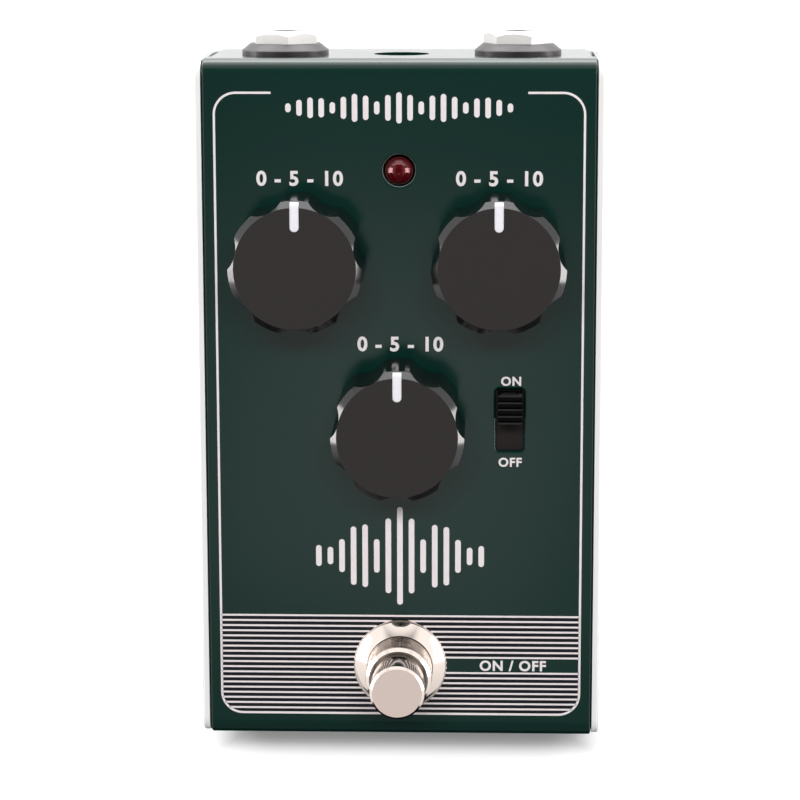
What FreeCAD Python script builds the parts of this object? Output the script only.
import FreeCAD, Part
import math
import os
from FreeCAD import Placement, Rotation, Vector

# A compact effects pedal in a folded steel case: three dials, a slide switch, a foot switch,
# a lamp, two plug sockets and a power socket. Millimetres, +X to the right, +Y to the rear
# wall with the sockets, +Z up. The origin is on the floor under the middle of the object.

# Case, two folded sheets that slide into each other
body_width = 74.0
body_depth = 126.7
body_height = 30.0
sheet = 1.2
bend_radius = 3.0        # outside radius of the cover's folds along the panel
tab_fold_radius = 1.5    # outside radius where the end walls turn into the corner tabs
tray_fold_radius = 2.0   # outside radius along the tray's floor
side_gap = 0.2           # between the cover's edge and the tray's side plates
cover_lift = 0.4         # between the cover's walls and the tray's floor
edge_ease = 0.4          # rounding of a sheared and coated edge
end_setback = 0.4        # side plates stop this much short of the cover's end walls

# Rubber feet
foot_height = 2.3
foot_radius = 5.0
foot_taper = 0.5
foot_from_side = 10.0    # a foot's centre to the case's side
foot_from_end = 10.35

# Countersunk screws through the side plates into the cover's folded tabs
screw_radius = 1.5
screw_head_radius = 2.6
screw_length = 6.0
screw_slot = (3.2, 0.7, 0.7)     # cross recess: length, width, depth
tab_length = 14.0
screw_in_tab = 8.0               # from the end wall's outer face to the screw
screw_rise = 14.0                # from the tray's underside to the screw
screw_turn_step = 25.0           # each screw stops at its own angle

# Fits and routes
slip = 0.05              # radial room round what turns or slides
hole_slack = 0.1         # room round what passes through a sheet or a board
grip = 0.02              # radial room in a tapped or pressed seat
rest_gap = 0.1           # between faces that are drawn together but don't carry each other
bend_share = 0.45        # how much of the shorter run a lead's bend takes up

# Dials
knob_x = 18.0
rear_knobs_from_rear = 35.95
knob_row_pitch = 30.4    # from the rear dials to the middle one
knob_height = 14.7       # top of the dial above the panel
knob_gap = 0.8
knob_outer_radius = 12.0
knob_bevel_run = 1.15    # how far the bevel under the flat face goes out
knob_flute_depth = 1.2
knob_flute_radius = 5.4
knob_lobes = 7
knob_lobe_ease = 0.4
knob_bevel_drop = 1.2
knob_roof = 3.0
knob_wall = 1.5
hub_radius = 4.6
hub_room = 0.9           # between the bushing and the hub above it
pointer_width = 1.6
pointer_length = 4.7
pointer_sink = 0.42      # the inlay lies this far under the dial's face
pointer_thickness = 0.6

# Potentiometers
pot_width = 9.8
pot_length = 11.0
pot_height = 6.8
pot_bushing_radius = 3.5
pot_bushing_rise = 4.6   # above the panel
pot_shaft_radius = 3.0
pot_shaft_flat = 1.5
pot_floor = 1.4
pot_nut_flats = 10.0
pot_nut_height = 2.0
pot_nut_bevel = 0.4
pot_washer_radius = 6.0
pot_washer_height = 0.5
pin_width = 0.8
pin_depth = 0.5
pin_pitch = 2.5
pin_tail = 1.0           # solder pins stand out of the far side of a board

# Boards
board_thickness = 1.6
board_corner = 1.0
main_board_side_room = 3.4      # from the board's edge to the cover's folded tabs
main_board_front_margin = 3.5   # in front of the middle dial's potentiometer
main_board_step_room = 1.15     # the full width ends this far in front of the plug sockets
main_tongue_side_room = 1.9     # between the board's tongue and the plug sockets beside it
main_tongue_margin = 4.1        # behind the lamp
socket_board_side_room = 1.4
socket_board_margin = 2.8       # in front of the connector's middle

# Lamp
lamp_from_rear = 20.05
lamp_radius = 2.5
lamp_flange_lip = 0.4
lamp_flange_height = 1.0
lamp_rise = 2.5          # top of the dome above the panel
lamp_length = 8.6
lamp_dome_flat = 0.25    # radius of the flat spot on top of the dome
lamp_hole_room = 0.45
lamp_lead = 0.5
lamp_lead_pitch = 2.54

# Slide switch
slide_x = 20.2
slide_behind_knob = 0.4  # middle of the slot to the middle dial's axis
slot_width = 5.2
slot_length = 11.6
slot_corner = 0.6
slider_width = 4.4
slider_length = 5.3
slider_rise = 4.5
slider_end_room = 0.35   # between the slider and each end of the slot
slider_ridges = 5
slider_ridge_width = 0.3
slider_groove_depth = 0.5
slider_plate_thickness = 0.6
slider_plate_margin = 0.9
slider_tongue_depth = 2.6
slide_housing_width = 9.0
slide_housing_length = 16.0
slide_housing_corner = 0.5

# Foot switch
stomp_from_front = 14.15
plunger_radius = 4.95
plunger_rise = 17.7
plunger_travel = 4.0
plunger_chamfer = 0.45
plunger_collar_lip = 0.45
plunger_collar_height = 1.5
stomp_bushing_wall = 1.0
stomp_bushing_rise = 9.9
stomp_bushing_chamfer = 0.6
dress_nut_radius = 8.6
dress_nut_height = 2.8
dress_nut_rim = 0.7      # straight edge under the bevel
dress_nut_land = 1.3     # flat ring left round the thread
dress_nut_ease = 0.4     # rounding at the rim
dress_nut_dome = 1.8     # rounding from the bevel to the flat ring
lock_nut_flats = 15.0
lock_nut_height = 2.0
lock_nut_bevel = 0.5
lock_nut_room = 0.3      # between the nut and the switch's case under it
lock_washer_radius = 7.8
lock_washer_height = 0.7
stomp_case_width = 17.5
stomp_case_height = 13.0
stomp_case_corner = 1.0
lug_length = 4.2
lug_width = 2.0
lug_depth = 0.7
lug_pitch_x = 5.3
lug_pitch_y = 4.8
stomp_board_margin = 0.75   # past the switch's case, in front and behind
stomp_board_wing = 6.5      # how much wider than the case, most of it to the right
stomp_board_offset = 2.5
stomp_board_drop = 1.4
spring_wire_radius = 0.35
spring_radius = 4.3
spring_turns = 5

# Plug sockets in the rear wall
socket_from_side = 15.5
socket_drop = 15.0       # axis under the panel
socket_bore_radius = 3.25
socket_bushing_radius = 4.5
socket_bushing_seat = 3.0
socket_width = 16.0
socket_height = 13.0
socket_length = 24.5
socket_inner_room = 0.25     # bore of the body past the bushing's
bezel_radius = 8.0
bezel_rim = 0.8
bezel_cone = 1.25
bezel_top_radius = 6.5
bezel_ease = 0.3
socket_nut_flats = 11.2
socket_nut_height = 2.1
socket_nut_bevel = 0.7
socket_bushing_proud = 0.1
socket_bushing_ease = 0.3
left_nut_turn = 38.0
right_nut_turn = 52.0
contact_width = 2.4
contact_thickness = 0.3
contact_inset = 4.6      # from the body's inner end to where the spring touches the plug
contact_bump = 1.3

# Power socket
power_hole_radius = 5.1
power_width = 9.0
power_length = 13.6
power_bore_radius = 3.15
power_bore_depth = 10.0
power_pin_radius = 1.05
power_pin_recess = 0.6
power_above_axis = 4.5

# Plug-in connector between the two boards
link_pins = 7
link_pitch = 2.54
link_width = 2.5
link_socket_height = 8.5
link_socket_floor = 2.0
link_pin = 0.64
link_before_lamp = 2.1

# Battery lying across the case
battery_width = 48.5
battery_length = 26.5
battery_height = 17.5
battery_room = 0.35      # behind the foot switch's board
battery_corner = 2.0
battery_pad_thickness = 0.6
battery_pad_margin = 1.0
terminal_radius = 2.9
terminal_height = 2.6
terminal_pitch = 12.7
snap_thickness = 3.5
snap_length = 25.0
snap_height = 12.5
snap_corner = 3.0
lead_radius = 0.65
lead_run = 9.0           # least run from the snap to the rise
lead_landing = 7.4       # from the main board's front edge to where the leads end
cable_radius = 1.3
cable_inset = 2.0        # from the edge of the foot switch's board
cable_side_room = 5.0    # between the battery's end and the bundle's line
cable_rise = 5.0
cable_turn_in = 6.0

# Parts soldered to the main board
chip_width = 3.9
chip_height = 1.7
chip_lengths = (9.9, 9.9, 5.0)
chip_pitch = 14.0
chip_row = 15.0          # behind the middle dial's axis
can_radius = 2.5
can_height = 7.0
can_count = 5
can_pitch = 9.0
can_row = 7.0

# Levels and places that follow from the sizes above
socket_reach = bezel_rim + bezel_cone + socket_nut_height + socket_bushing_proud
front_y = -(body_depth + socket_reach) / 2
rear_y = front_y + body_depth
mid_y = (front_y + rear_y) / 2
foot_x = body_width / 2 - foot_from_side
foot_y = body_depth / 2 - foot_from_end
tray_z = foot_height
floor_z = tray_z + sheet
panel_z = foot_height + body_height
under_z = panel_z - sheet
cover_half = body_width / 2 - sheet - side_gap
cover_bottom = floor_z + cover_lift
tab_inner = cover_half - sheet
rear_inner = rear_y - sheet
lamp_y = rear_y - lamp_from_rear
rear_knob_y = rear_y - rear_knobs_from_rear
middle_knob_y = rear_knob_y - knob_row_pitch
slide_y = middle_knob_y + slide_behind_knob
stomp_y = front_y + stomp_from_front
board_top = under_z - pot_height
board_bottom = board_top - board_thickness
axis_z = panel_z - socket_drop
socket_x = body_width / 2 - socket_from_side
socket_front = rear_inner - rest_gap - socket_length
socket_inner_radius = socket_bore_radius + socket_inner_room
link_y = lamp_y - link_before_lamp
main_board_half_width = tab_inner - main_board_side_room
main_board_front = middle_knob_y - pot_length / 2 - main_board_front_margin
main_board_step = socket_front - main_board_step_room
main_board_rear = lamp_y + main_tongue_margin
main_tongue_half_width = socket_x - socket_width / 2 - main_tongue_side_room
socket_board_half_width = tab_inner - socket_board_side_room
socket_board_front = link_y - socket_board_margin
socket_board_rear = rear_inner - 2 * rest_gap
socket_board_top = axis_z - socket_height / 2
socket_board_bottom = socket_board_top - board_thickness
lamp_flange_radius = lamp_radius + lamp_flange_lip
lamp_dome_radius = lamp_radius - lamp_dome_flat
knob_disc_radius = knob_outer_radius - knob_bevel_run
knob_flute_floor = knob_outer_radius - knob_flute_depth
knob_bottom = panel_z + knob_gap
knob_top = panel_z + knob_height
knob_ceiling = knob_top - knob_roof
hub_bottom = panel_z + pot_bushing_rise + hub_room
shaft_top = knob_ceiling - rest_gap
slider_travel = slot_length - slider_length - 2 * slider_end_room
slider_y = slide_y + slider_travel / 2
plunger_collar_radius = plunger_radius + plunger_collar_lip
stomp_bushing_radius = plunger_radius + slip + stomp_bushing_wall
stomp_case_top = under_z - lock_washer_height - lock_nut_height - lock_nut_room
stomp_bushing_length = panel_z + stomp_bushing_rise - stomp_case_top
stomp_case_bottom = stomp_case_top - stomp_case_height
spring_solid_length = 2 * spring_wire_radius * (spring_turns + 1)
spring_seat = stomp_case_top - rest_gap - plunger_collar_height - plunger_travel - spring_solid_length
stomp_board_top = stomp_case_bottom - stomp_board_drop
stomp_board_width = stomp_case_width + stomp_board_wing
stomp_board_length = stomp_case_width + 2 * stomp_board_margin
battery_y = stomp_y + stomp_board_length / 2 + battery_room + battery_length / 2
battery_bottom = floor_z + battery_pad_thickness
knob_places = {
    "delay": Vector(-knob_x, rear_knob_y, 0),
    "volume": Vector(knob_x, rear_knob_y, 0),
    "sustain": Vector(0, middle_knob_y, 0),
}
up = Vector(0, 0, 1)
rearward = Vector(0, 1, 0)


# A point of a drawing plane, with the third coordinate at its own level
def on_plane(plane, a, b, level):
    if plane == "xy":
        return Vector(a, b, level)
    if plane == "xz":
        return Vector(a, level, b)
    return Vector(level, a, b)


# A closed outline through corners (a, b) or (a, b, radius), as a face
def outline(corners, plane, level=0.0):
    spans = []
    count = len(corners)
    for index, corner in enumerate(corners):
        here = on_plane(plane, corner[0], corner[1], level)
        radius = corner[2] if len(corner) > 2 else 0
        if radius == 0:
            spans.append((here, None, here))
            continue
        before = corners[index - 1]
        after = corners[(index + 1) % count]
        inward = (on_plane(plane, before[0], before[1], level) - here).normalize()
        onward = (on_plane(plane, after[0], after[1], level) - here).normalize()
        half_angle = inward.getAngle(onward) / 2
        reach = radius / math.tan(half_angle)
        bisector = (inward + onward).normalize()
        middle = here + bisector * (radius / math.sin(half_angle) - radius)
        spans.append((here + inward * reach, middle, here + onward * reach))
    edges = []
    for index, (first, middle, last) in enumerate(spans):
        if middle is not None:
            edges.append(Part.Arc(first, middle, last).toShape())
        following = spans[(index + 1) % count][0]
        if last.distanceToPoint(following) > 1e-6:
            edges.append(Part.LineSegment(last, following).toShape())
    return Part.Face(Part.Wire(edges))


def box(low, high):
    size = Vector(*high) - Vector(*low)
    return Part.makeBox(size.x, size.y, size.z, Vector(*low))


# A block centred on a point in plan, from its underside upwards
def block(x, y, bottom, width, length, height):
    return Part.makeBox(width, length, height, Vector(x - width / 2, y - length / 2, bottom))


# A block with rounded corners in plan
def rounded_block(x, y, bottom, width, length, height, radius):
    a, b = width / 2, length / 2
    corners = [(x + i * a, y + j * b, radius) for i, j in ((-1, -1), (1, -1), (1, 1), (-1, 1))]
    return outline(corners, "xy", bottom).extrude(up * height)


def rod(radius, base, length, axis=up):
    return Part.makeCylinder(radius, length, base, axis)


def tube(outer, inner, base, length, axis=up):
    return rod(outer, base, length, axis).cut(rod(inner, base, length, axis))


# A turned solid from its half section, corners as (radius, height)
def turned(corners):
    return outline(corners, "xz").revolve(Vector(0, 0, 0), up, 360)


# Puts a shape that was made on the +Z axis in its place and on its axis
def place(shape, base, axis=up, turn=0.0):
    moved = shape.copy()
    moved.Placement = Placement(base, Rotation(up, axis).multiply(Rotation(up, turn)))
    return moved


# A hexagon nut on +Z with its upper corners bevelled
def hex_nut(flats, bore, height, bevel):
    corner_radius = flats / math.sqrt(3)
    angles = [math.radians(60 * i) for i in range(6)]
    prism = outline([(corner_radius * math.cos(a), corner_radius * math.sin(a)) for a in angles], "xy")
    prism = prism.extrude(up * height)
    shoulder = height - bevel
    land = flats / 2 - bevel / 2
    cone = turned([(0, 0), (corner_radius + bevel, 0), (corner_radius + bevel, shoulder - bevel),
                   (corner_radius, shoulder), (land, height), (0, height)])
    return prism.common(cone).cut(rod(bore, Vector(0, 0, 0), height))


# A sheet folded to a U: two walls joined by a flat, drawn across the fold
def folded_u(low, high, flat, tip, fold_radius, plane, start, length):
    turn_in = sheet if tip > flat else -sheet
    inner_radius = fold_radius - sheet
    corners = [
        (low, tip), (low, flat, fold_radius), (high, flat, fold_radius), (high, tip),
        (high - sheet, tip), (high - sheet, flat + turn_in, inner_radius),
        (low + sheet, flat + turn_in, inner_radius), (low + sheet, tip),
    ]
    direction = Vector(1, 0, 0) if plane == "yz" else Vector(0, 1, 0)
    return outline(corners, plane, start).extrude(direction * length)


# A round lead along straight runs joined by tangent arcs
def routed_lead(points, radius):
    edges = []
    radii = []
    last = points[0]
    for before, here, after in zip(points, points[1:], points[2:]):
        inward = (before - here).normalize()
        onward = (after - here).normalize()
        half_angle = inward.getAngle(onward) / 2
        shorter = min(before.distanceToPoint(here), here.distanceToPoint(after))
        reach = bend_share * shorter
        bend = reach * math.tan(half_angle)
        radii.append(bend)
        middle = here + (inward + onward).normalize() * (bend / math.sin(half_angle) - bend)
        edges.append(Part.LineSegment(last, here + inward * reach).toShape())
        edges.append(Part.Arc(here + inward * reach, middle, here + onward * reach).toShape())
        last = here + onward * reach
    edges.append(Part.LineSegment(last, points[-1]).toShape())
    path = Part.Wire(edges)
    section = Part.Wire([Part.Circle(points[0], points[1] - points[0], radius).toShape()])
    lead = path.makePipeShell([section], True, False)
    print("lead radii", [round(r, 1) for r in radii], "length", round(path.Length, 1))
    return lead


def rounded_edges(shape, radius, wanted):
    edges = [edge for edge in shape.Edges if wanted(edge)]
    return shape.makeFillet(radius, edges)


def export(name, shape):
    solids = shape.Solids
    if not shape.isValid() or not solids or min(s.Volume for s in solids) <= 0:
        raise ValueError("bad solid in " + name)
    Part.makeCompound(solids).exportStep("parts/" + name + ".step")
    print(name, len(solids), "solids", round(sum(s.Volume for s in solids), 2), "mm3")


# Where the four side screws stand: side, height and distance from the nearer end wall
def screw_places():
    for side in (-1, 1):
        for end in (-1, 1):
            end_y = front_y if end < 0 else rear_y
            yield side, end, Vector(side * body_width / 2, end_y - end * screw_in_tab, tray_z + screw_rise)


def make_top_cover():
    cover = folded_u(front_y, rear_y, panel_z, cover_bottom, bend_radius, "yz", -cover_half, 2 * cover_half)
    tab_top = panel_z - 2 * bend_radius - sheet
    for side in (-1, 1):
        for end in (-1, 1):
            outer_x, inner_x = side * cover_half, side * (cover_half - sheet)
            end_y = front_y if end < 0 else rear_y
            inner_y = end_y - end * sheet
            root_x = side * (cover_half - tab_fold_radius)
            tip_y = end_y - end * tab_length
            corner = box((min(root_x, outer_x), min(end_y, inner_y), cover_bottom),
                         (max(root_x, outer_x), max(end_y, inner_y), tab_top))
            fold = outline([(root_x, end_y), (outer_x, end_y, tab_fold_radius), (outer_x, tip_y),
                            (inner_x, tip_y), (inner_x, inner_y, tab_fold_radius - sheet),
                            (root_x, inner_y)], "xy", cover_bottom)
            cover = cover.cut(corner).fuse(fold.extrude(up * (tab_top - cover_bottom)))
    for side, end, head in screw_places():
        start = Vector(side * (cover_half - 2 * sheet), head.y, head.z)
        cover = cover.cut(rod(screw_radius + grip, start, 3 * sheet, Vector(side, 0, 0)))
    below = Vector(0, 0, under_z - sheet)
    for spot in knob_places.values():
        cover = cover.cut(rod(pot_bushing_radius + hole_slack, spot + below, 3 * sheet))
    cover = cover.cut(rod(lamp_radius + lamp_hole_room, Vector(0, lamp_y, 0) + below, 3 * sheet))
    cover = cover.cut(rod(stomp_bushing_radius + hole_slack, Vector(0, stomp_y, 0) + below, 3 * sheet))
    cover = cover.cut(rounded_block(slide_x, slide_y, under_z - sheet,
                                    slot_width, slot_length, 3 * sheet, slot_corner))
    behind = rear_inner - sheet
    for x in (-socket_x, socket_x):
        hole = rod(socket_bushing_radius + hole_slack, Vector(x, behind, axis_z), 3 * sheet, rearward)
        cover = cover.cut(hole)
    cover = cover.cut(rod(power_hole_radius, Vector(0, behind, axis_z), 3 * sheet, rearward))
    cover = cover.removeSplitter()

    # the coating rounds the long cut edges and the rims of the lamp hole and the slot
    def eased(edge):
        middle = edge.BoundBox.Center
        flat = abs(edge.BoundBox.ZMin - panel_z) < 1e-6 and abs(edge.BoundBox.ZMax - panel_z) < 1e-6
        long_cut = flat and abs(abs(middle.x) - cover_half) < 1e-6
        lamp_rim = flat and abs(middle.x) < 1e-3 and abs(middle.y - lamp_y) < 1e-3
        slot_rim = (flat and abs(middle.x - slide_x) <= slot_width / 2 + 1e-3
                    and abs(middle.y - slide_y) <= slot_length / 2 + 1e-3)
        bend = (abs(abs(middle.x) - cover_half) < 1e-6 and edge.BoundBox.ZMax > panel_z - 1e-6
                and edge.Curve.TypeId == "Part::GeomCircle"
                and abs(edge.Curve.Radius - bend_radius) < 1e-6)
        return long_cut or bend or lamp_rim or slot_rim

    return rounded_edges(cover, edge_ease, eased)


def make_base_tray():
    start = front_y + end_setback
    length = body_depth - 2 * end_setback
    tray = folded_u(-body_width / 2, body_width / 2, tray_z, panel_z, tray_fold_radius, "xz", start, length)
    # side plates rounded like the cover's folds
    top_corners = [(start, tray_z - sheet), (start, panel_z, bend_radius),
                   (start + length, panel_z, bend_radius), (start + length, tray_z - sheet)]
    tray = tray.common(outline(top_corners, "yz", -body_width).extrude(Vector(2 * body_width, 0, 0)))
    for side, end, head in screw_places():
        inward = Vector(-side, 0, 0)
        head_depth = screw_head_radius - screw_radius
        tray = tray.cut(rod(screw_radius + hole_slack, head, 2 * sheet, inward))
        sink = turned([(0, 0), (screw_head_radius + grip, 0), (screw_radius + grip, head_depth),
                       (0, head_depth)])
        tray = tray.cut(place(sink, head, inward))

    def eased(edge):
        return (abs(abs(edge.BoundBox.Center.x) - body_width / 2) < 1e-6
                and edge.BoundBox.ZMax > panel_z - bend_radius + 1e-3)

    return rounded_edges(tray, edge_ease, eased)


def make_side_screws():
    head_depth = screw_head_radius - screw_radius
    screw = turned([(0, 0), (screw_head_radius, 0), (screw_radius, head_depth),
                    (screw_radius, screw_length), (0, screw_length)])
    length, width, depth = screw_slot
    screw = screw.cut(block(0, 0, 0, length, width, depth)).cut(block(0, 0, 0, width, length, depth))
    return Part.makeCompound([place(screw, head, Vector(-side, 0, 0), index * screw_turn_step)
                              for index, (side, end, head) in enumerate(screw_places())])


def make_rubber_feet():
    foot = turned([(0, 0), (foot_radius - foot_taper, 0, foot_taper), (foot_radius, foot_height),
                   (0, foot_height)])
    return Part.makeCompound([place(foot, Vector(i * foot_x, mid_y + j * foot_y, 0))
                              for i in (-1, 1) for j in (-1, 1)])


# Plan of a dial: round lobes parted by round flutes, the corners between them eased
def knob_plan():
    flute_centre = knob_flute_floor + knob_flute_radius
    ease_orbit = knob_outer_radius - knob_lobe_ease
    ease_reach = knob_flute_radius + knob_lobe_ease
    swing = math.acos((ease_orbit ** 2 + flute_centre ** 2 - ease_reach ** 2)
                      / (2 * ease_orbit * flute_centre))
    pitch = 2 * math.pi / knob_lobes
    edges = []
    for index in range(knob_lobes):
        lobe_angle = math.pi / 2 + index * pitch
        flute_angle = lobe_angle + pitch / 2

        def polar(radius, angle):
            return Vector(radius * math.cos(angle), radius * math.sin(angle), 0)

        def ease(side):
            centre = polar(ease_orbit, flute_angle + side * swing)
            lobe_end = polar(knob_outer_radius, flute_angle + side * swing)
            to_flute = (polar(flute_centre, flute_angle) - centre).normalize()
            flute_end = centre + to_flute * knob_lobe_ease
            bulge = ((lobe_end - centre) + (flute_end - centre)).normalize()
            return lobe_end, centre + bulge * knob_lobe_ease, flute_end

        first_lobe, first_middle, first_flute = ease(-1)
        last_lobe, last_middle, last_flute = ease(1)
        next_lobe = polar(knob_outer_radius, flute_angle + pitch - swing)
        edges.append(Part.Arc(first_lobe, first_middle, first_flute).toShape())
        edges.append(Part.Arc(first_flute, polar(knob_flute_floor, flute_angle), last_flute).toShape())
        edges.append(Part.Arc(last_flute, last_middle, last_lobe).toShape())
        edges.append(Part.Arc(last_lobe, polar(knob_outer_radius, lobe_angle + pitch), next_lobe).toShape())
    return Part.Face(Part.Wire(edges))


# The dial's outside, without its hollow
def knob_envelope():
    prism = knob_plan().extrude(up * (knob_top - knob_bottom))
    prism.translate(up * knob_bottom)
    slope = knob_bevel_drop / (knob_outer_radius - knob_disc_radius)
    far = knob_outer_radius + 1
    lathe = turned([(0, knob_bottom), (far, knob_bottom),
                    (far, knob_top - slope * (far - knob_disc_radius)),
                    (knob_disc_radius, knob_top), (0, knob_top)])
    return prism.common(lathe)


# The channel for the inlay: straight sides, round inner end, open through the bevel
def pointer_channel(bottom, height):
    inner_end = knob_disc_radius + pointer_sink - pointer_length + pointer_width / 2
    far = knob_outer_radius + 1
    channel = box((-pointer_width / 2, inner_end, bottom), (pointer_width / 2, far, bottom + height))
    return channel.fuse(rod(pointer_width / 2, Vector(0, inner_end, bottom), height)).removeSplitter()


def shaft_section(radius, bottom, height, flat_from):
    shaft = rod(radius, Vector(0, 0, bottom), height)
    flat = radius - pot_shaft_flat
    return shaft.cut(box((-2 * radius, flat, flat_from), (2 * radius, 2 * radius, bottom + height)))


def make_knob():
    knob = knob_envelope()
    cavity = rod(knob_flute_floor - knob_wall, Vector(0, 0, knob_bottom), knob_ceiling - knob_bottom)
    hub_length = knob_ceiling - hub_bottom
    hub = rod(hub_radius, Vector(0, 0, hub_bottom), hub_length)
    knob = knob.cut(cavity.cut(hub))
    knob = knob.cut(shaft_section(pot_shaft_radius + grip, hub_bottom, hub_length, hub_bottom))
    seat = knob_top - pointer_sink - pointer_thickness
    return knob.cut(pointer_channel(seat, knob_top - seat + 1))


def make_pointer():
    seat = knob_top - pointer_sink - pointer_thickness
    return pointer_channel(seat, pointer_thickness).common(knob_envelope())


def make_pot_shaft():
    bottom = board_top + pot_floor
    return shaft_section(pot_shaft_radius, bottom, shaft_top - bottom, hub_bottom - rest_gap)


def pot_pin_places():
    return [Vector(i * pin_pitch, -pot_length / 2 + pin_depth, 0) for i in (-1, 0, 1)]


def make_pot():
    case = block(0, 0, board_top, pot_width, pot_length, pot_height)
    bushing = rod(pot_bushing_radius, Vector(0, 0, board_top), panel_z + pot_bushing_rise - board_top)
    bore = rod(pot_shaft_radius + slip, Vector(0, 0, board_top + pot_floor), knob_top - board_top)
    pot = case.fuse(bushing)
    for spot in pot_pin_places():
        bottom = board_bottom - pin_tail
        pot = pot.fuse(block(spot.x, spot.y, bottom, pin_width, pin_depth, board_top + pot_floor - bottom))
    return pot.cut(bore)


def make_pot_washers():
    washer = tube(pot_washer_radius, pot_bushing_radius + grip, Vector(0, 0, panel_z), pot_washer_height)
    return Part.makeCompound([place(washer, spot) for spot in knob_places.values()])


def make_pot_nuts():
    nut = hex_nut(pot_nut_flats, pot_bushing_radius + grip, pot_nut_height, pot_nut_bevel)
    nuts = [place(nut, spot + up * (panel_z + pot_washer_height)) for spot in knob_places.values()]
    return Part.makeCompound(nuts)


def make_main_board():
    half, tongue = main_board_half_width, main_tongue_half_width
    front, step, rear = main_board_front, main_board_step, main_board_rear
    plan = [(-half, front), (half, front), (half, step), (tongue, step),
            (tongue, rear), (-tongue, rear), (-tongue, step), (-half, step)]
    board = outline([(x, y, board_corner) for x, y in plan], "xy", board_bottom)
    board = board.extrude(up * board_thickness)
    slack = 2 * hole_slack
    for spot in knob_places.values():
        for pin in pot_pin_places():
            board = board.cut(block(spot.x + pin.x, spot.y + pin.y, board_bottom,
                                    pin_width + slack, pin_depth + slack, board_thickness))
    for x in (-lamp_lead_pitch / 2, lamp_lead_pitch / 2):
        board = board.cut(block(x, lamp_y, board_bottom,
                                lamp_lead + slack, lamp_lead + slack, board_thickness))
    return board


def make_socket_board():
    middle = (socket_board_front + socket_board_rear) / 2
    return rounded_block(0, middle, socket_board_bottom, 2 * socket_board_half_width,
                         socket_board_rear - socket_board_front, board_thickness, board_corner)


def make_led_lens():
    top = panel_z + lamp_rise
    bottom = top - lamp_length
    step = bottom + lamp_flange_height
    profile = [(0, bottom), (lamp_flange_radius, bottom), (lamp_flange_radius, step),
               (lamp_radius, step), (lamp_radius, top, lamp_dome_radius), (0, top)]
    lens = turned(profile)
    for x in (-lamp_lead_pitch / 2, lamp_lead_pitch / 2):
        lens = lens.cut(block(x, 0, bottom, lamp_lead, lamp_lead, lamp_flange_height))
    return place(lens, Vector(0, lamp_y, 0))


def make_led_leads():
    top = panel_z + lamp_rise - lamp_length + lamp_flange_height
    bottom = board_bottom - pin_tail
    return Part.makeCompound([block(x, lamp_y, bottom, lamp_lead, lamp_lead, top - bottom)
                              for x in (-lamp_lead_pitch / 2, lamp_lead_pitch / 2)])


def make_led_spacer():
    height = panel_z + lamp_rise - lamp_length - board_top
    spacer = rod(lamp_flange_radius, Vector(0, lamp_y, board_top), height)
    for x in (-lamp_lead_pitch / 2, lamp_lead_pitch / 2):
        spacer = spacer.cut(block(x, lamp_y, board_top, lamp_lead + 2 * hole_slack,
                                  lamp_lead + 2 * hole_slack, height))
    return spacer


# Top of the housing, under the plate that slides between it and the panel
def slide_housing_top():
    return under_z - slider_plate_thickness - 2 * rest_gap


def make_slide_switch_body():
    top = slide_housing_top()
    body = rounded_block(slide_x, slide_y, board_top, slide_housing_width, slide_housing_length,
                         top - board_top, slide_housing_corner)
    track_width = slider_width + 2 * slip
    track_length = slider_length + slider_travel + 2 * slider_end_room
    track_depth = slider_tongue_depth + rest_gap
    return body.cut(block(slide_x, slide_y, top - track_depth, track_width, track_length, track_depth))


def make_slide_switch_slider():
    top = panel_z + slider_rise
    plate_top = under_z - rest_gap
    plate_bottom = plate_top - slider_plate_thickness
    bottom = plate_bottom - rest_gap - slider_tongue_depth
    slider = block(slide_x, slider_y, bottom, slider_width, slider_length, top - bottom)
    plate_width = slot_width + 2 * slider_plate_margin
    plate_length = slot_length + slider_travel + 2 * slider_plate_margin
    plate = block(slide_x, slider_y, plate_bottom, plate_width, plate_length, slider_plate_thickness)
    slider = slider.fuse(plate)
    # grooves across the top leave the ridges for the thumb
    pitch = (slider_length - slider_ridge_width) / (slider_ridges - 1)
    groove = pitch - slider_ridge_width
    for index in range(slider_ridges - 1):
        y = slider_y + (index - (slider_ridges - 2) / 2) * pitch
        cutter = outline([(y - groove / 2, top), (y - groove / 4, top - slider_groove_depth),
                          (y + groove / 4, top - slider_groove_depth), (y + groove / 2, top)],
                         "yz", slide_x - slider_width)
        slider = slider.cut(cutter.extrude(Vector(2 * slider_width, 0, 0)))
    return slider.removeSplitter()


def stomp_axis(z):
    return Vector(0, stomp_y, z)


def make_footswitch_body():
    body = rounded_block(0, stomp_y, stomp_case_bottom, stomp_case_width, stomp_case_width,
                         stomp_case_height, stomp_case_corner)
    return body.cut(rod(plunger_collar_radius + 2 * hole_slack, stomp_axis(spring_seat),
                        stomp_case_top - spring_seat))


def make_footswitch_bushing():
    inner = plunger_radius + slip
    outer = stomp_bushing_radius
    length, ease = stomp_bushing_length, stomp_bushing_chamfer
    bushing = turned([(inner, 0), (outer, 0), (outer, length - ease),
                      (outer - ease, length), (inner, length)])
    return place(bushing, stomp_axis(stomp_case_top))


def make_footswitch_plunger():
    bottom = stomp_case_top - rest_gap - plunger_collar_height
    top = panel_z + plunger_rise
    plunger = turned([(0, bottom), (plunger_collar_radius, bottom),
                      (plunger_collar_radius, bottom + plunger_collar_height),
                      (plunger_radius, bottom + plunger_collar_height),
                      (plunger_radius, top - plunger_chamfer), (plunger_radius - plunger_chamfer, top),
                      (0, top)])
    return place(plunger, stomp_axis(0))


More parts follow.
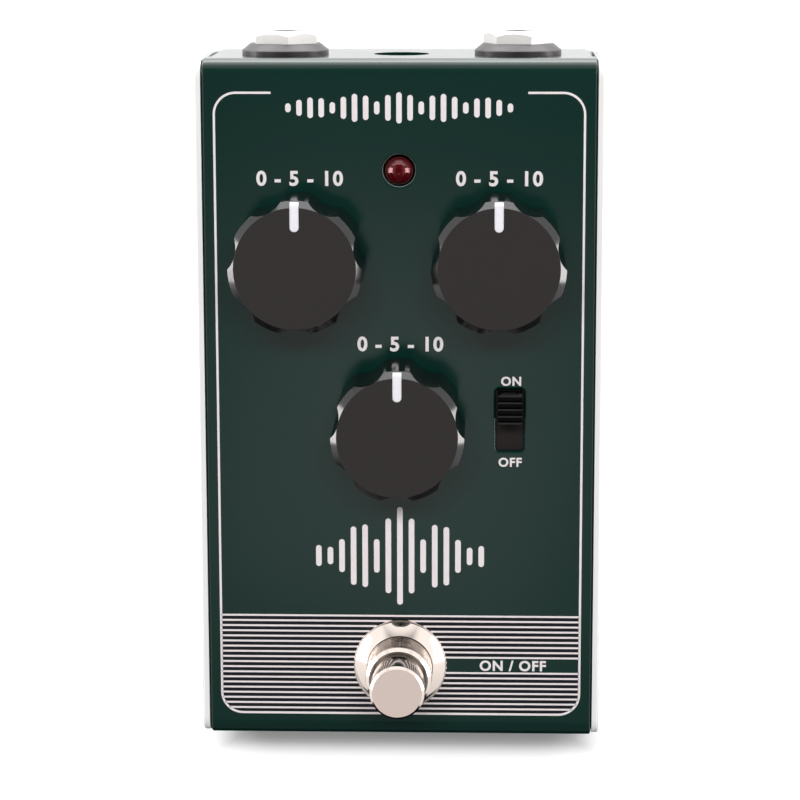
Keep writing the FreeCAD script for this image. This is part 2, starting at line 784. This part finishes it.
def make_footswitch_dress_nut():
    bore = stomp_bushing_radius + grip
    outer, height = dress_nut_radius, dress_nut_height
    nut = turned([(bore, 0), (outer, 0), (outer, dress_nut_rim, dress_nut_ease),
                  (bore + dress_nut_land, height, dress_nut_dome), (bore, height)])
    return place(nut, stomp_axis(panel_z))


def make_footswitch_lock_nut():
    nut = hex_nut(lock_nut_flats, stomp_bushing_radius + grip, lock_nut_height, lock_nut_bevel)
    return place(nut, stomp_axis(under_z - lock_washer_height - lock_nut_height))


def make_footswitch_lock_washer():
    return tube(lock_washer_radius, stomp_bushing_radius + grip, stomp_axis(under_z - lock_washer_height),
                lock_washer_height)


def lug_places():
    return [Vector(i * lug_pitch_x, stomp_y + j * lug_pitch_y, 0)
            for i in (-1, 0, 1) for j in (-1, 0, 1)]


def make_footswitch_lugs():
    return Part.makeCompound([block(spot.x, spot.y, stomp_case_bottom - lug_length, lug_width, lug_depth,
                                    lug_length) for spot in lug_places()])


def make_footswitch_board():
    board = rounded_block(stomp_board_offset, stomp_y, stomp_board_top - board_thickness,
                          stomp_board_width, stomp_board_length, board_thickness, board_corner)
    for spot in lug_places():
        board = board.cut(block(spot.x, spot.y, stomp_board_top - board_thickness,
                                lug_width + 2 * hole_slack, lug_depth + 2 * hole_slack, board_thickness))
    return board


# The return spring, wound as quarter turns between the case's floor and the plunger's collar
def make_footswitch_spring():
    bottom = spring_seat + spring_wire_radius + grip
    top = stomp_case_top - rest_gap - plunger_collar_height - spring_wire_radius - grip
    steps = 8 * spring_turns

    def wound(step):
        angle = 2 * math.pi * spring_turns * step / steps
        rise = (top - bottom) * step / steps
        return Vector(spring_radius * math.cos(angle), spring_radius * math.sin(angle), bottom + rise)

    edges = [Part.Arc(wound(i), wound(i + 1), wound(i + 2)).toShape() for i in range(0, steps, 2)]
    path = Part.Wire(edges)
    start = edges[0].tangentAt(edges[0].FirstParameter)
    section = Part.Wire([Part.Circle(wound(0), start, spring_wire_radius).toShape()])
    return place(path.makePipeShell([section], True, False), stomp_axis(0))


def socket_axis(x, y):
    return Vector(x, y, axis_z)


def make_socket_body(x):
    y = socket_front
    body = box((x - socket_width / 2, y, socket_board_top),
               (x + socket_width / 2, y + socket_length, socket_board_top + socket_height))
    body = body.cut(rod(socket_inner_radius, socket_axis(x, y), socket_length, rearward))
    seat_depth = socket_bushing_seat
    body = body.cut(rod(socket_bushing_radius + grip, socket_axis(x, y + socket_length - seat_depth),
                        seat_depth, rearward))
    # the tip spring lies in a channel in the roof of the bore, open to the front end
    channel = contact_width + 2 * hole_slack
    channel_top = socket_inner_radius + contact_bump + contact_thickness
    return body.cut(box((x - channel / 2, y, axis_z), (x + channel / 2, y + socket_length - 2 * seat_depth,
                                                       axis_z + channel_top)))


# A flat spring along the roof of the bore that dips to the plug near its tip
def make_socket_contact(x):
    y = socket_front
    end_y = y + socket_length - 2 * socket_bushing_seat
    touch_y = y + contact_inset
    level = axis_z + socket_inner_radius + contact_bump
    low = level - 2 * contact_bump
    t = contact_thickness
    half = contact_bump * 2
    strip = outline([(y, level), (touch_y - half, level), (touch_y, low), (touch_y + half, level),
                     (end_y, level), (end_y, level + t), (touch_y + half - t, level + t),
                     (touch_y, low + t), (touch_y - half + t, level + t), (y, level + t)],
                    "yz", x - contact_width / 2)
    return strip.extrude(Vector(contact_width, 0, 0))


def make_socket_bushing(x):
    start = rear_inner - rest_gap - socket_bushing_seat
    length = rear_y + socket_reach - start
    outer, inner, ease = socket_bushing_radius, socket_bore_radius, socket_bushing_ease
    bushing = turned([(inner, 0), (outer, 0), (outer, length - ease),
                      (outer - ease, length), (inner, length)])
    return place(bushing, socket_axis(x, start), rearward)


def make_socket_bezel(x):
    bore = socket_bushing_radius + grip
    height = bezel_rim + bezel_cone
    bezel = turned([(bore, 0), (bezel_radius, 0), (bezel_radius, bezel_rim, bezel_ease),
                    (bezel_top_radius, height, bezel_ease), (bore, height)])
    return place(bezel, socket_axis(x, rear_y), rearward)


def make_socket_nut(x, turn):
    nut = hex_nut(socket_nut_flats, socket_bushing_radius + grip, socket_nut_height, socket_nut_bevel)
    return place(nut, socket_axis(x, rear_y + bezel_rim + bezel_cone), rearward, turn)


def make_power_socket():
    start = rear_inner - rest_gap - power_length
    body = box((-power_width / 2, start, socket_board_top),
               (power_width / 2, start + power_length, axis_z + power_above_axis))
    mouth = start + power_length - power_bore_depth
    return body.cut(rod(power_bore_radius, socket_axis(0, mouth), power_bore_depth, rearward))


def make_power_pin():
    mouth = rear_inner - rest_gap - power_bore_depth
    length = power_bore_depth - power_pin_recess
    return rod(power_pin_radius, socket_axis(0, mouth), length, rearward)


def link_places():
    return [Vector((i - (link_pins - 1) / 2) * link_pitch, link_y, 0) for i in range(link_pins)]


def make_link_socket():
    width = link_pins * link_pitch
    body = block(0, link_y, socket_board_top, width, link_width, link_socket_height)
    well = link_pin + 2 * hole_slack
    for spot in link_places():
        body = body.cut(block(spot.x, spot.y, socket_board_top + link_socket_floor, well, well,
                              link_socket_height))
    return body


def make_link_header():
    width = link_pins * link_pitch
    start = socket_board_top + link_socket_height + rest_gap
    header = block(0, link_y, start, width, link_width, board_bottom - start)
    for spot in link_places():
        bottom = socket_board_top + link_socket_floor + rest_gap
        header = header.fuse(block(spot.x, spot.y, bottom, link_pin, link_pin, start - bottom))
    return header.removeSplitter()


def make_battery():
    y = battery_y
    a, b = battery_length / 2, battery_height / 2
    z = battery_bottom + b
    corners = [(y + i * a, z + j * b, battery_corner) for i, j in ((-1, -1), (1, -1), (1, 1), (-1, 1))]
    body = outline(corners, "yz", -battery_width / 2).extrude(Vector(battery_width, 0, 0))
    for side in (-1, 1):
        spot = Vector(-battery_width / 2, y + side * terminal_pitch / 2, z)
        body = body.fuse(rod(terminal_radius, spot, terminal_height, Vector(-1, 0, 0)))
    return body


def make_battery_pad():
    return rounded_block(0, battery_y, floor_z, battery_width - 2 * battery_pad_margin,
                         battery_length - 2 * battery_pad_margin, battery_pad_thickness, battery_corner)


def make_battery_snap():
    y, z = battery_y, battery_bottom + battery_height / 2
    a, b = snap_length / 2, snap_height / 2
    corners = [(y + i * a, z + j * b, snap_corner) for i, j in ((-1, -1), (1, -1), (1, 1), (-1, 1))]
    start = -battery_width / 2 - snap_thickness
    snap = outline(corners, "yz", start).extrude(Vector(snap_thickness, 0, 0))
    for side in (-1, 1):
        spot = Vector(-battery_width / 2, y + side * terminal_pitch / 2, z)
        snap = snap.cut(rod(terminal_radius + slip, spot, terminal_height + slip, Vector(-1, 0, 0)))
    return snap


# Two leads leave the snap's rear edge and rise to the underside of the main board
def make_battery_leads():
    x = -battery_width / 2 - snap_thickness / 2
    exit_y = battery_y + snap_length / 2
    z = battery_bottom + battery_height / 2
    leads = []
    for side in (-1, 1):
        run_z = z + side * 2 * lead_radius
        end_y = max(exit_y + lead_run, main_board_front + lead_landing) - side * 2 * lead_radius
        points = [Vector(x, exit_y, run_z), Vector(x, end_y, run_z), Vector(x, end_y, board_bottom)]
        leads.append(routed_lead(points, lead_radius))
    return Part.makeCompound(leads)


# The bundle from the foot switch's board runs along the case's right side to the main board
def make_switch_cable():
    start_x = stomp_board_offset + stomp_board_width / 2 - cable_inset
    side_x = battery_width / 2 + cable_side_room
    low_y, high_y = stomp_y, main_board_front + cable_side_room
    run_z = stomp_board_top + cable_rise
    points = [Vector(start_x, low_y, stomp_board_top), Vector(start_x, low_y, run_z),
              Vector(side_x, low_y + cable_turn_in, run_z), Vector(side_x, high_y, run_z),
              Vector(side_x, high_y, board_bottom)]
    return routed_lead(points, cable_radius)


def make_chips():
    chips = []
    for index, length in enumerate(chip_lengths):
        x = (index - (len(chip_lengths) - 1) / 2) * chip_pitch
        chips.append(block(x, middle_knob_y + chip_row, board_bottom - chip_height,
                           length, chip_width, chip_height))
    return Part.makeCompound(chips)


def make_capacitors():
    cans = []
    for index in range(can_count):
        x = (index - (can_count - 1) / 2) * can_pitch
        spot = Vector(x, middle_knob_y + can_row, board_bottom - can_height)
        cans.append(rod(can_radius, spot, can_height))
    return Part.makeCompound(cans)


def main():
    os.makedirs("parts", exist_ok=True)
    export("top_cover", make_top_cover())
    export("base_tray", make_base_tray())
    export("side_screws", make_side_screws())
    export("rubber_feet", make_rubber_feet())
    knob, pointer, shaft, pot = make_knob(), make_pointer(), make_pot_shaft(), make_pot()
    for name, spot in knob_places.items():
        export(name + "_knob", place(knob, spot))
        export(name + "_pointer", place(pointer, spot))
        export(name + "_shaft", place(shaft, spot))
        export(name + "_pot", place(pot, spot))
    export("pot_washers", make_pot_washers())
    export("pot_nuts", make_pot_nuts())
    export("main_board", make_main_board())
    export("socket_board", make_socket_board())
    export("led_lens", make_led_lens())
    export("led_leads", make_led_leads())
    export("led_spacer", make_led_spacer())
    export("slide_switch_body", make_slide_switch_body())
    export("slide_switch_slider", make_slide_switch_slider())
    export("footswitch_body", make_footswitch_body())
    export("footswitch_bushing", make_footswitch_bushing())
    export("footswitch_plunger", make_footswitch_plunger())
    export("footswitch_dress_nut", make_footswitch_dress_nut())
    export("footswitch_lock_nut", make_footswitch_lock_nut())
    export("footswitch_lock_washer", make_footswitch_lock_washer())
    export("footswitch_spring", make_footswitch_spring())
    export("footswitch_lugs", make_footswitch_lugs())
    export("footswitch_board", make_footswitch_board())
    for name, x, turn in (("output", -socket_x, left_nut_turn), ("input", socket_x, right_nut_turn)):
        export(name + "_jack_body", make_socket_body(x))
        export(name + "_jack_contact", make_socket_contact(x))
        export(name + "_jack_bushing", make_socket_bushing(x))
        export(name + "_jack_bezel", make_socket_bezel(x))
        export(name + "_jack_nut", make_socket_nut(x, turn))
    export("power_socket", make_power_socket())
    export("power_pin", make_power_pin())
    export("link_socket", make_link_socket())
    export("link_header", make_link_header())
    export("battery", make_battery())
    export("battery_pad", make_battery_pad())
    export("battery_snap", make_battery_snap())
    export("battery_leads", make_battery_leads())
    export("switch_cable", make_switch_cable())
    export("chips", make_chips())
    export("capacitors", make_capacitors())


main()
